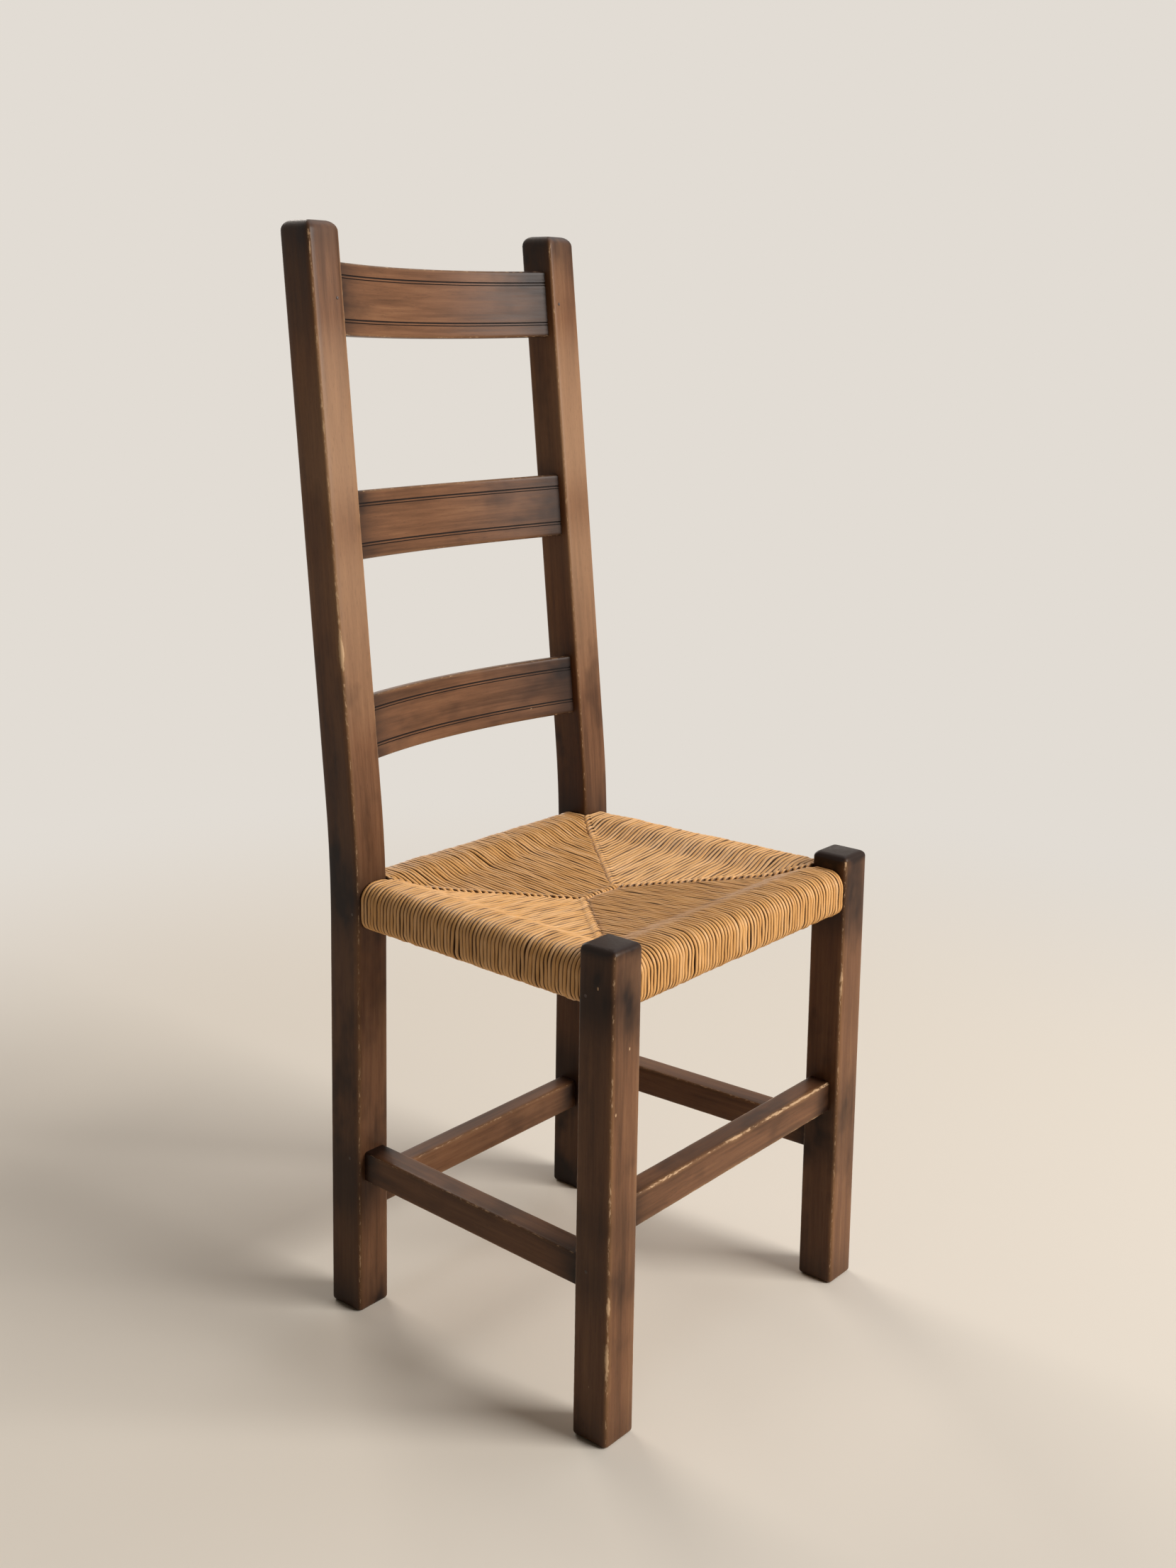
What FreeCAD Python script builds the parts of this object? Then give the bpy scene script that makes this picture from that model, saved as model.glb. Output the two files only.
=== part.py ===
import FreeCAD, Part
import math
import os

# Ladderback chair with a rush seat. Millimetres, +Z up, the front faces -Y and right is the
# sitter's right, -X. While the pieces are made, Y counts from the front faces of the front legs.
# At the end the chair moves so that the origin is the bottom centre of its bounding box.

# Overall sizes
FRONT_WIDTH = 416.0             # across the outer faces of the front legs
REAR_WIDTH = 390.0              # across the outer faces of the rear posts
FRONT_TO_REAR = 331.5           # front faces of the legs to front faces of the posts
FRONT_LEG_HEIGHT = 466.0
POST_HEIGHT = 1092.0

# Legs and posts
LEG_SIDE = 40.0
POST_WIDTH = 40.0
POST_DEPTH = 42.0
EDGE_RADIUS = 3.5               # worn long edges and feet
POST_TOP_RADIUS = 10.0
BEND_HEIGHT = 468.0             # where the straight lower and upper lines of a post would cross
BEND_RADIUS = 1200.0
BACK_RAKE = math.radians(6.0)

# Back slats: height along the post, and the gap above each to the post's top or the next slat
SLAT_HEIGHTS = {"top": 71.5, "middle": 68.0, "bottom": 64.5}
SLAT_GAPS = {"top": 37.9, "middle": 150.9, "bottom": 134.3}
SLAT_THICKNESS = 12.0
SLAT_BOW = 26.0                 # how far the middle lies behind the ends
SLAT_INSET = 9.7                # front face of a slat's end behind the post's front face
SLAT_EDGE_RADIUS = 2.5
GROOVE_MARGINS = (12.8, 15.2)   # from either long edge of a slat to each groove
GROOVE_WIDTH = 1.0
GROOVE_DEPTH = 0.9

# Stretchers: section, height of the lower face and inset from the outer faces of the legs
FRONT_STRETCHER_HEIGHT = 32.0
FRONT_STRETCHER_THICKNESS = 25.0
FRONT_STRETCHER_LEVEL = 191.0
FRONT_STRETCHER_INSET = 9.5
SIDE_STRETCHER_HEIGHT = 31.0
SIDE_STRETCHER_THICKNESS = 26.0
SIDE_STRETCHER_LEVEL = 140.0
SIDE_STRETCHER_INSET = 7.3
REAR_STRETCHER_HEIGHT = 32.0
REAR_STRETCHER_THICKNESS = 22.0
REAR_STRETCHER_LEVEL = 100.0
REAR_STRETCHER_INSET = 10.0
STRETCHER_EDGE_RADIUS = 2.5

# Seat rails
RAIL_HEIGHT = 37.0
RAIL_THICKNESS = 22.0
RAIL_LEVEL = 409.0
RAIL_EDGE_RADIUS = 7.0
RAIL_TENON_HEIGHT = 13.0
RAIL_TENON_STAGGER = 8.0        # front and rear tenons above the rail's middle, side ones below

# Rush seat: its outer faces lie inside the outer faces of the legs
FRONT_RUSH_SETBACK = 1.5
SIDE_RUSH_SETBACK = 4.0
REAR_RUSH_SETBACK = 4.0
RUSH_WRAP = 5.0                 # rush round a rail
RUSH_LAYER = 4.5                # one layer of rush over or under the packing
RIDGE_LENGTH = 52.0
RIDGE_DROP = 22.0               # the ridge lies lower than the crown over the rails
UNDERSIDE_RISE = 10.0           # the underside rises towards the ridge
CROWN_WIDTH = 38.0              # from the outer face to where the rush leaves its crown
SHOULDER_WIDTH = 14.0           # plan width of the short steep stretch inside the crown
SHOULDER_DROP = 10.5
OUTER_TOP_RADIUS = 17.0
OUTER_BOTTOM_RADIUS = 13.0
CROWN_RADIUS = 28.0
SHOULDER_RADIUS = 20.0
PACKING_RAIL_GAP = 0.5
PACKING_SEAM_MARGIN = 6.0

# Joints and fits
STRETCHER_TENON_LENGTH = 24.0
RAIL_TENON_LENGTH = 24.0
SLAT_TENON_LENGTH = 22.0
SLAT_TENON_THICKNESS = 7.0
TENON_SHOULDER = 5.0            # a tenon's faces lie inside the faces of its bar
TENON_ROOT = 6.0                # a tenon starts inside its bar
JOINT_CLEARANCE = 0.1
MORTISE_END_GAP = 0.8
SOFT_CLEARANCE = 0.3            # rush to the wood that it goes round
PIN_RADIUS = 1.7
PIN_CLEARANCE = 0.05
STRETCHER_PIN_LENGTH = 27.0
STRETCHER_PIN_SETBACK = 14.0    # from the shoulder of the joint
STRETCHER_PIN_DROP = 8.0        # below the stretcher's top
RAIL_PIN_LENGTH = 26.0
RAIL_PIN_SETBACK = 8.6
SLAT_PIN_LENGTH = 24.0
SLAT_PIN_SETBACK = 9.4

SIDES = {"right": -1.0, "left": 1.0}
UP = FreeCAD.Vector(0, 0, 1)
SEAT_DEPTH = FRONT_TO_REAR + POST_DEPTH


def vec(x, y, z=0.0):
    return FreeCAD.Vector(x, y, z)


# Shapes that several pieces share
def rounded_face(corners, place):
    """Face through corners (a, b, radius); place turns (a, b) into a point of space."""
    points = [vec(a, b) for a, b, radius in corners]
    ends = []
    edges = []
    for index, (a, b, radius) in enumerate(corners):
        here = points[index]
        back = (points[index - 1] - here).normalize()
        ahead = (points[(index + 1) % len(points)] - here).normalize()
        half_angle = back.getAngle(ahead) / 2
        reach = radius / math.tan(half_angle)
        start = here + back * reach
        end = here + ahead * reach
        if radius > 0:
            bisector = (back + ahead).normalize()
            middle = here + bisector * (radius / math.sin(half_angle) - radius)
            edges.append(Part.Arc(place(start), place(middle), place(end)).toShape())
        ends.append((start, end))
    for index, (start, end) in enumerate(ends):
        previous_end = ends[index - 1][1]
        if previous_end.distanceToPoint(start) > Part.Precision.confusion():
            edges.append(Part.LineSegment(place(previous_end), place(start)).toShape())
    return Part.Face(Part.Wire(Part.__sortEdges__(edges)))


def prism(plan_points, bottom, height):
    """Upright block over a polygon in plan."""
    corners = [vec(point.x, point.y, bottom) for point in plan_points]
    face = Part.Face(Part.makePolygon(corners + corners[:1]))
    return face.extrude(UP * height)


def block(x_range, y_range, z_range):
    size = [limits[1] - limits[0] for limits in (x_range, y_range, z_range)]
    return Part.makeBox(*size, vec(x_range[0], y_range[0], z_range[0]))


def grown_box(origin, along, back, length, width, bottom, top, gap=0.0, end_gap=0.0):
    """Box along a level direction from back behind the origin to length ahead of it."""
    across = vec(-along.y, along.x) * (width / 2 + gap)
    tail = origin - along * back
    tip = origin + along * (length + end_gap)
    corners = [tail - across, tip - across, tip + across, tail + across]
    return prism(corners, bottom - gap, top - bottom + 2 * gap)


def long_edges(shape, least):
    return [edge for edge in shape.Edges if edge.Length > least]


def pin(point, direction, length):
    return Part.makeCylinder(PIN_RADIUS, length, point, direction)


def pin_hole(point, direction, length):
    return Part.makeCylinder(PIN_RADIUS + PIN_CLEARANCE, length, point, direction)


# Posts and legs before their mortises are cut
def post_front_y(height):
    """Front face of a rear post at a height above its bend."""
    return FRONT_TO_REAR + (height - BEND_HEIGHT) * math.tan(BACK_RAKE)


def rear_post_blank(side):
    top_y = post_front_y(POST_HEIGHT)
    foot_front = (FRONT_TO_REAR, 0.0, 0.0)
    bend_front = (FRONT_TO_REAR, BEND_HEIGHT, BEND_RADIUS)
    bend_rear = (FRONT_TO_REAR + POST_DEPTH, BEND_HEIGHT, BEND_RADIUS)
    foot_rear = (FRONT_TO_REAR + POST_DEPTH, 0.0, 0.0)
    outer = side * REAR_WIDTH / 2
    low_x = min(outer, outer - side * POST_WIDTH)

    def profile(top_radius):
        tops = [(top_y, POST_HEIGHT, top_radius), (top_y + POST_DEPTH, POST_HEIGHT, top_radius)]
        corners = [foot_front, bend_front] + tops + [bend_rear, foot_rear]
        face = rounded_face(corners, lambda point: vec(low_x, point.x, point.y))
        return face.extrude(vec(POST_WIDTH, 0))

    body = profile(0.0)
    long = long_edges(body, 2 * POST_DEPTH)
    foot = [edge for edge in body.Edges if edge.BoundBox.ZMax < EDGE_RADIUS]
    body = body.makeFillet(EDGE_RADIUS, long + foot)
    front_view = [(low_x, 0.0, 0.0), (low_x, POST_HEIGHT, POST_TOP_RADIUS),
                  (low_x + POST_WIDTH, POST_HEIGHT, POST_TOP_RADIUS), (low_x + POST_WIDTH, 0.0, 0.0)]
    face = rounded_face(front_view, lambda point: vec(point.x, 0.0, point.y))
    crown = face.extrude(vec(0, top_y + POST_DEPTH))
    return body.common(profile(POST_TOP_RADIUS)).common(crown)


def front_leg_blank(side):
    outer = side * FRONT_WIDTH / 2
    low_x = min(outer, outer - side * LEG_SIDE)
    body = block((low_x, low_x + LEG_SIDE), (0.0, LEG_SIDE), (0.0, FRONT_LEG_HEIGHT))
    return body.makeFillet(EDGE_RADIUS, body.Edges)


# Bars between two legs: stretchers and seat rails
class Bar:
    """Level bar whose ends lie against two legs, with a tenon into each."""

    def __init__(self, start, end, thickness, level, height, radius, tenon_length, tenon_range):
        self.start = start
        self.end = end
        self.thickness = thickness
        self.level = level
        self.height = height
        self.radius = radius
        self.tenon_length = tenon_length
        self.tenon_range = tenon_range
        self.along = (end - start).normalize()

    def across(self):
        """Half of the thickness, measured along the faces that the ends lie against."""
        if abs(self.along.x) > abs(self.along.y):
            return vec(0, self.thickness / 2)
        return vec(self.thickness / 2, 0)

    def body(self, gap=0.0):
        reach = self.across() * ((self.thickness + 2 * gap) / self.thickness)
        corners = [self.start - reach, self.end - reach, self.end + reach, self.start + reach]
        shape = prism(corners, self.level - gap, self.height + 2 * gap)
        return shape.makeFillet(self.radius + gap, long_edges(shape, (self.end - self.start).Length / 2))

    def tenon(self, point, along, gap=0.0, end_gap=0.0):
        width = self.thickness - 2 * TENON_SHOULDER
        bottom, top = self.tenon_range
        return grown_box(point, along, TENON_ROOT, self.tenon_length, width, bottom, top, gap, end_gap)

    def shape(self):
        tenons = [self.tenon(self.end, self.along), self.tenon(self.start, self.along * -1)]
        return self.body().fuse(tenons).removeSplitter()

    def mortise(self, at_end):
        point = self.end if at_end else self.start
        along = self.along if at_end else self.along * -1
        return self.tenon(point, along, JOINT_CLEARANCE, MORTISE_END_GAP)


def cross_bar(width, leg, center_y, thickness, level, height, radius, tenon_length, tenon_range):
    reach = width / 2 - leg
    return Bar(vec(-reach, center_y), vec(reach, center_y), thickness, level, height, radius,
               tenon_length, tenon_range)


def stretchers():
    front_tenon = (FRONT_STRETCHER_LEVEL + TENON_SHOULDER,
                   FRONT_STRETCHER_LEVEL + FRONT_STRETCHER_HEIGHT - TENON_SHOULDER)
    side_tenon = (SIDE_STRETCHER_LEVEL + TENON_SHOULDER,
                  SIDE_STRETCHER_LEVEL + SIDE_STRETCHER_HEIGHT - TENON_SHOULDER)
    rear_tenon = (REAR_STRETCHER_LEVEL + TENON_SHOULDER,
                  REAR_STRETCHER_LEVEL + REAR_STRETCHER_HEIGHT - TENON_SHOULDER)
    bars = {
        "front": cross_bar(FRONT_WIDTH, LEG_SIDE, FRONT_STRETCHER_INSET + FRONT_STRETCHER_THICKNESS / 2,
                           FRONT_STRETCHER_THICKNESS, FRONT_STRETCHER_LEVEL, FRONT_STRETCHER_HEIGHT,
                           STRETCHER_EDGE_RADIUS, STRETCHER_TENON_LENGTH, front_tenon),
        "rear": cross_bar(REAR_WIDTH, POST_WIDTH,
                          FRONT_TO_REAR + REAR_STRETCHER_INSET + REAR_STRETCHER_THICKNESS / 2,
                          REAR_STRETCHER_THICKNESS, REAR_STRETCHER_LEVEL, REAR_STRETCHER_HEIGHT,
                          STRETCHER_EDGE_RADIUS, STRETCHER_TENON_LENGTH, rear_tenon),
    }
    from_outside = SIDE_STRETCHER_INSET + SIDE_STRETCHER_THICKNESS / 2
    for name, side in SIDES.items():
        front = vec(side * (FRONT_WIDTH / 2 - from_outside), LEG_SIDE)
        rear = vec(side * (REAR_WIDTH / 2 - from_outside), FRONT_TO_REAR)
        bars[name] = Bar(front, rear, SIDE_STRETCHER_THICKNESS, SIDE_STRETCHER_LEVEL, SIDE_STRETCHER_HEIGHT,
                         STRETCHER_EDGE_RADIUS, STRETCHER_TENON_LENGTH, side_tenon)
    return bars


def rail_tenon_range(direction):
    middle = RAIL_LEVEL + RAIL_HEIGHT / 2 + direction * RAIL_TENON_STAGGER
    return (middle - RAIL_TENON_HEIGHT / 2, middle + RAIL_TENON_HEIGHT / 2)


def seat_rails(fields):
    """Each rail runs along the outer line of its field of rush, from leg to leg."""
    upper = rail_tenon_range(1)
    lower = rail_tenon_range(-1)
    front_y = FRONT_RUSH_SETBACK + RUSH_WRAP + RAIL_THICKNESS / 2
    rear_y = SEAT_DEPTH - REAR_RUSH_SETBACK - RUSH_WRAP - RAIL_THICKNESS / 2
    section = (RAIL_THICKNESS, RAIL_LEVEL, RAIL_HEIGHT, RAIL_EDGE_RADIUS, RAIL_TENON_LENGTH)
    rails = {
        "front": cross_bar(FRONT_WIDTH, LEG_SIDE, front_y, *section, upper),
        "rear": cross_bar(REAR_WIDTH, POST_WIDTH, rear_y, *section, upper),
    }
    side_inset = SIDE_RUSH_SETBACK + RUSH_WRAP + RAIL_THICKNESS / 2
    for name in SIDES:
        front = fields[name].point_on_line(side_inset, LEG_SIDE)
        rear = fields[name].point_on_line(side_inset, FRONT_TO_REAR)
        rails[name] = Bar(front, rear, *section, lower)
    return rails


# Back slats
def slat_levels():
    """Height of each slat's lower edge, counted down from the tops of the posts."""
    levels = {}
    edge = POST_HEIGHT
    for name, gap in SLAT_GAPS.items():
        edge -= gap + SLAT_HEIGHTS[name] * math.cos(BACK_RAKE)
        levels[name] = edge
    return levels


def slat_radius():
    """Radius of a slat's front face in plan."""
    half_chord = REAR_WIDTH / 2 - POST_WIDTH
    return (half_chord ** 2 + SLAT_BOW ** 2) / (2 * SLAT_BOW)


def raked(shape, level):
    """Turns a slat from upright to the rake of the posts and sets it at its height."""
    shape.rotate(vec(0, 0), vec(1, 0), -math.degrees(BACK_RAKE))
    shape.translate(vec(0, post_front_y(level) + SLAT_INSET, level))
    return shape


def bowed_plate(thickness, bottom, height):
    """Plate between two upright cylinders, its ends cut flat against the posts."""
    half_chord = REAR_WIDTH / 2 - POST_WIDTH
    radius = slat_radius()
    center = vec(0, SLAT_BOW - radius, bottom)
    front = Part.makeCylinder(radius, height, center)
    rear = Part.makeCylinder(radius + thickness, height, center)
    window = block((-half_chord, half_chord), (center.y, center.y + 2 * radius), (bottom, bottom + height))
    return rear.cut(front).common(window)


def slat_tenon(name, side, gap=0.0, end_gap=0.0):
    shoulder = vec(side * (REAR_WIDTH / 2 - POST_WIDTH), SLAT_THICKNESS / 2)
    top = SLAT_HEIGHTS[name] - TENON_SHOULDER
    return grown_box(shoulder, vec(side, 0), TENON_ROOT, SLAT_TENON_LENGTH, SLAT_TENON_THICKNESS,
                     TENON_SHOULDER, top, gap, end_gap)


def back_slat(name, level):
    """A slat with its tenons, and the grooves cut along its front between the posts."""
    height = SLAT_HEIGHTS[name]
    body = bowed_plate(SLAT_THICKNESS, 0.0, height)
    body = body.makeFillet(SLAT_EDGE_RADIUS, long_edges(body, REAR_WIDTH / 2 - POST_WIDTH))
    body = body.fuse([slat_tenon(name, side) for side in SIDES.values()]).removeSplitter()
    for margin in GROOVE_MARGINS:
        for middle in (margin, height - margin):
            body = body.cut(bowed_plate(GROOVE_DEPTH, middle - GROOVE_WIDTH / 2, GROOVE_WIDTH))
    return raked(body, level)


def slat_mortise(name, side, level):
    return raked(slat_tenon(name, side, JOINT_CLEARANCE, MORTISE_END_GAP), level)


# Rush seat
def plan_corners():
    """Outer corners of the seat in plan, from the front right corner round to the rear right one."""
    front = FRONT_WIDTH / 2
    rear = REAR_WIDTH / 2
    return [vec(-front, 0), vec(front, 0), vec(rear, SEAT_DEPTH), vec(-rear, SEAT_DEPTH)]


class Field:
    """One of the four fields of rush, which run from a rail to the ridge in the middle."""

    def __init__(self, corner_a, corner_b, ridge_points, setback):
        self.corner_a = corner_a
        self.corner_b = corner_b
        self.ridge_points = ridge_points
        self.setback = setback
        self.along = (corner_b - corner_a).normalize()
        self.inward = vec(-self.along.y, self.along.x)
        self.reach = (ridge_points[0] - corner_a).dot(self.inward)

    def point_on_line(self, inset, y):
        """Point at y on a line that lies inset from the outer line of a side field."""
        start = self.corner_a + self.inward * inset
        return start + self.along * ((y - start.y) / self.along.y)

    def swept(self, corners):
        """Profile of (distance from the outer line, height, radius) swept along the rail."""
        face = rounded_face(corners, lambda point: self.corner_a + self.inward * point.x + UP * point.y)
        return face.extrude(self.corner_b - self.corner_a)

    def region(self, margin=0.0):
        plan = [self.corner_a, self.corner_b] + self.ridge_points
        shape = Part.Face(Part.makePolygon(plan + plan[:1]))
        if margin > 0:
            shape = shape.makeOffset2D(-margin)
        return shape.extrude(UP * (RAIL_LEVEL + RAIL_HEIGHT + 2 * RUSH_WRAP))

    def outer(self):
        bottom = RAIL_LEVEL - RUSH_WRAP
        crown = RAIL_LEVEL + RAIL_HEIGHT + RUSH_WRAP
        shoulder = self.setback + CROWN_WIDTH
        profile = [
            (self.setback, bottom, OUTER_BOTTOM_RADIUS),
            (self.setback, crown, OUTER_TOP_RADIUS),
            (shoulder, crown, CROWN_RADIUS),
            (shoulder + SHOULDER_WIDTH, crown - SHOULDER_DROP, SHOULDER_RADIUS),
            (self.reach, crown - RIDGE_DROP, 0.0),
            (self.reach, bottom + UNDERSIDE_RISE, 0.0),
            (shoulder, bottom, CROWN_RADIUS),
        ]
        return self.swept(profile).common(self.region())

    def packing(self):
        bottom = RAIL_LEVEL - RUSH_WRAP + RUSH_LAYER
        crown = RAIL_LEVEL + RAIL_HEIGHT + RUSH_WRAP - RUSH_LAYER
        start = self.setback + RUSH_WRAP + RAIL_THICKNESS + PACKING_RAIL_GAP
        shoulder = self.setback + CROWN_WIDTH
        profile = [
            (start, bottom, 0.0),
            (start, crown, 0.0),
            (shoulder - RUSH_LAYER / 2, crown, 0.0),
            (shoulder + SHOULDER_WIDTH, crown - SHOULDER_DROP, 0.0),
            (self.reach, crown - RIDGE_DROP, 0.0),
            (self.reach, bottom + UNDERSIDE_RISE, 0.0),
            (shoulder, bottom, 0.0),
        ]
        return self.swept(profile).common(self.region(PACKING_SEAM_MARGIN))


def seat_fields():
    front_right, front_left, rear_left, rear_right = plan_corners()
    ridge_right = vec(-RIDGE_LENGTH / 2, SEAT_DEPTH / 2)
    ridge_left = vec(RIDGE_LENGTH / 2, SEAT_DEPTH / 2)
    return {
        "front": Field(front_right, front_left, [ridge_left, ridge_right], FRONT_RUSH_SETBACK),
        "left": Field(front_left, rear_left, [ridge_left], SIDE_RUSH_SETBACK),
        "rear": Field(rear_left, rear_right, [ridge_right, ridge_left], REAR_RUSH_SETBACK),
        "right": Field(rear_right, front_right, [ridge_right], SIDE_RUSH_SETBACK),
    }


def leg_footprints(gap):
    """Straight blocks round the legs and posts, grown by a gap."""
    height = (0.0, POST_HEIGHT)
    blocks = []
    for side in SIDES.values():
        front = sorted((side * FRONT_WIDTH / 2, side * (FRONT_WIDTH / 2 - LEG_SIDE)))
        rear = sorted((side * REAR_WIDTH / 2, side * (REAR_WIDTH / 2 - POST_WIDTH)))
        blocks.append(block((front[0] - gap, front[1] + gap), (-gap, LEG_SIDE + gap), height))
        blocks.append(block((rear[0] - gap, rear[1] + gap), (FRONT_TO_REAR - gap, SEAT_DEPTH + gap), height))
    return blocks


def rush_seat(fields, rails, packing):
    parts = [field.outer() for field in fields.values()]
    seat = parts[0].fuse(parts[1:])
    inside = [rail.body(SOFT_CLEARANCE) for rail in rails.values()] + list(packing.values())
    return seat.cut(leg_footprints(SOFT_CLEARANCE) + inside)


# Pins: a point on the outer face, the direction inwards and the length
def side_pin_places(setback, height, length):
    places = []
    for side in SIDES.values():
        inward = vec(-side, 0)
        front = vec(side * FRONT_WIDTH / 2, LEG_SIDE - setback, height)
        rear = vec(side * REAR_WIDTH / 2, FRONT_TO_REAR + setback, height)
        places += [(front, inward, length), (rear, inward, length)]
    return places


def slat_pin_places(slat_level):
    """Only the top slat is pinned, at half of its height."""
    level = slat_level + SLAT_HEIGHTS["top"] / 2 * math.cos(BACK_RAKE)
    inward = vec(0, math.cos(BACK_RAKE), -math.sin(BACK_RAKE))
    reach = REAR_WIDTH / 2 - POST_WIDTH + SLAT_PIN_SETBACK
    return [(vec(side * reach, post_front_y(level), level), inward, SLAT_PIN_LENGTH)
            for side in SIDES.values()]


def drilled(shape, places):
    return shape.cut([pin_hole(*place) for place in places])


def pin_group(places):
    return Part.makeCompound([pin(*place) for place in places])


def build():
    fields = seat_fields()
    stretcher_bars = stretchers()
    rail_bars = seat_rails(fields)
    levels = slat_levels()
    stretcher_pin_level = SIDE_STRETCHER_LEVEL + SIDE_STRETCHER_HEIGHT - STRETCHER_PIN_DROP
    stretcher_pins = side_pin_places(STRETCHER_PIN_SETBACK, stretcher_pin_level, STRETCHER_PIN_LENGTH)
    rail_pin_level = sum(rail_tenon_range(-1)) / 2
    rail_pins = side_pin_places(RAIL_PIN_SETBACK, rail_pin_level, RAIL_PIN_LENGTH)
    slat_pins = slat_pin_places(levels["top"])
    all_pins = stretcher_pins + rail_pins + slat_pins

    nodes = {}
    for name, side in SIDES.items():
        at_end = side > 0
        leg_cuts = [bars["front"].mortise(at_end) for bars in (stretcher_bars, rail_bars)]
        leg_cuts += [bars[name].mortise(False) for bars in (stretcher_bars, rail_bars)]
        nodes["front_leg_" + name] = drilled(front_leg_blank(side).cut(leg_cuts), all_pins)
        post_cuts = [bars["rear"].mortise(at_end) for bars in (stretcher_bars, rail_bars)]
        post_cuts += [bars[name].mortise(True) for bars in (stretcher_bars, rail_bars)]
        post_cuts += [slat_mortise(slat, side, level) for slat, level in levels.items()]
        nodes["rear_post_" + name] = drilled(rear_post_blank(side).cut(post_cuts), all_pins)
    for name, level in levels.items():
        nodes["back_slat_" + name] = drilled(back_slat(name, level), slat_pins)
    for name, bar in stretcher_bars.items():
        nodes["stretcher_" + name] = drilled(bar.shape(), stretcher_pins)
    for name, bar in rail_bars.items():
        nodes["seat_rail_" + name] = drilled(bar.shape(), rail_pins)
    packing = {name: field.packing() for name, field in fields.items()}
    nodes["rush_seat"] = rush_seat(fields, rail_bars, packing)
    for name, shape in packing.items():
        nodes["packing_" + name] = shape
    nodes["stretcher_pins"] = pin_group(stretcher_pins)
    nodes["rail_pins"] = pin_group(rail_pins)
    nodes["slat_pins"] = pin_group(slat_pins)
    return nodes


def main():
    nodes = build()
    box = Part.makeCompound(list(nodes.values())).optimalBoundingBox(False, False)
    to_origin = vec(-box.Center.x, -box.Center.y, -box.ZMin)
    os.makedirs("parts", exist_ok=True)
    for name, shape in nodes.items():
        shape.translate(to_origin)
        shape.exportStep("parts/" + name + ".step")
        print(name, len(shape.Solids), shape.isValid(), round(shape.Volume))
    print("moved by", to_origin, "size", box.XLength, box.YLength, box.ZLength)


main()
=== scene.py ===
import math
import random

from collections import namedtuple
from functools import partial

import bmesh
import bpy
import numpy as np
from mathutils import Matrix, Vector, noise


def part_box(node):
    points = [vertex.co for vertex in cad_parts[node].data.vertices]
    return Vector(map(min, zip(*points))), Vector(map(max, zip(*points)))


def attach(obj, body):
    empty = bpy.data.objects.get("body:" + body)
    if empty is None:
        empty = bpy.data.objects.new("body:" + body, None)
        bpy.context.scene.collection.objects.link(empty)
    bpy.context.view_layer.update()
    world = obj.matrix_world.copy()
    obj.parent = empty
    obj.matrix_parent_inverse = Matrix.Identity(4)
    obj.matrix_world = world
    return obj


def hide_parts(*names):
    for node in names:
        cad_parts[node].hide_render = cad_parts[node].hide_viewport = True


bl_info = {
    "name": "Ladderback Chair Finish",
    "version": (1, 0, 0),
    "blender": (4, 5, 0),
    "location": "3D View > Sidebar > Chair",
    "description": "Models the worn walnut-stained frame and the rush seat of a ladderback chair",
    "category": "Object",
}

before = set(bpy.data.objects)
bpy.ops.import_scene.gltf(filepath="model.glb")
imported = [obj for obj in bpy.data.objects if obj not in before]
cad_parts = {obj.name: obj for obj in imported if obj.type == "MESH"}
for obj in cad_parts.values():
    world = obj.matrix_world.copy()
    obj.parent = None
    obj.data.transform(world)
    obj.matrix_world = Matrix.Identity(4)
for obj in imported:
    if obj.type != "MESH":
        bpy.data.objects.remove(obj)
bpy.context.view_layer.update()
FRONT_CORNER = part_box("front_leg_right")[0]
REAR_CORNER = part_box("rear_post_right")[0]
MM = 0.001
SIDES = {"right": -1.0, "left": 1.0}
SMOOTH_ANGLE = math.radians(38)
# The axis that a bar runs along while it is modelled.
LYING, UPRIGHT = 0, 2
RING_SPACING = 5 * MM
EDGE_STEPS = 4
END_STEPS = 7
BEND_STEPS = 10
# In millimetres: how far apart the pieces lie in the plank that they share, and how wide an edge
# is worn down.
PLANK_STEP = 137.0
EDGE_REACH = 2.5
# How nearly an edge or a face must lie along an axis, and a place match, to be picked.
ALONG = 0.98
FACING = 0.97
NEAR = 0.01 * MM


def linear(hex_colour):
    """An sRGB hex colour as linear red, green and blue."""
    channels = [int(hex_colour[place:place + 2], 16) / 255 for place in (1, 3, 5)]
    return tuple(c / 12.92 if c <= 0.04045 else ((c + 0.055) / 1.055) ** 2.4 for c in channels)


def length(name, description, millimetres):
    return bpy.props.FloatProperty(name=name, description=description, default=millimetres * MM,
                                   unit="LENGTH", precision=5)


def colour(name, description, hex_colour):
    return bpy.props.FloatVectorProperty(name=name, description=description, subtype="COLOR",
                                         default=linear(hex_colour), min=0.0, max=1.0)


def power(name, description, watts):
    return bpy.props.FloatProperty(name=name, description=description, default=watts, unit="POWER")


class ChairPosts(bpy.types.PropertyGroup):
    side: length("Leg side", "Side of a leg's square section", 40)
    post_depth: length("Post depth", "Rear post from front to back", 42)
    edge_radius: length("Edge radius", "Rounding of the long edges", 3.5)
    foot_radius: length("Foot radius", "Rounding round a foot", 4)
    post_top_radius: length("Post top radius", "Rounding round a rear post's top", 10)
    leg_top_radius: length("Leg top radius", "Rounding round a front leg's top", 6)
    bend_height: length("Bend height", "Where a post's two straight lines would cross", 468)
    bend_radius: length("Bend radius", "Radius of a rear post's bend", 1200)
    rake: bpy.props.FloatProperty(name="Rake", description="Lean of the back from upright",
                                  default=math.radians(6), unit="ROTATION")


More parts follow.
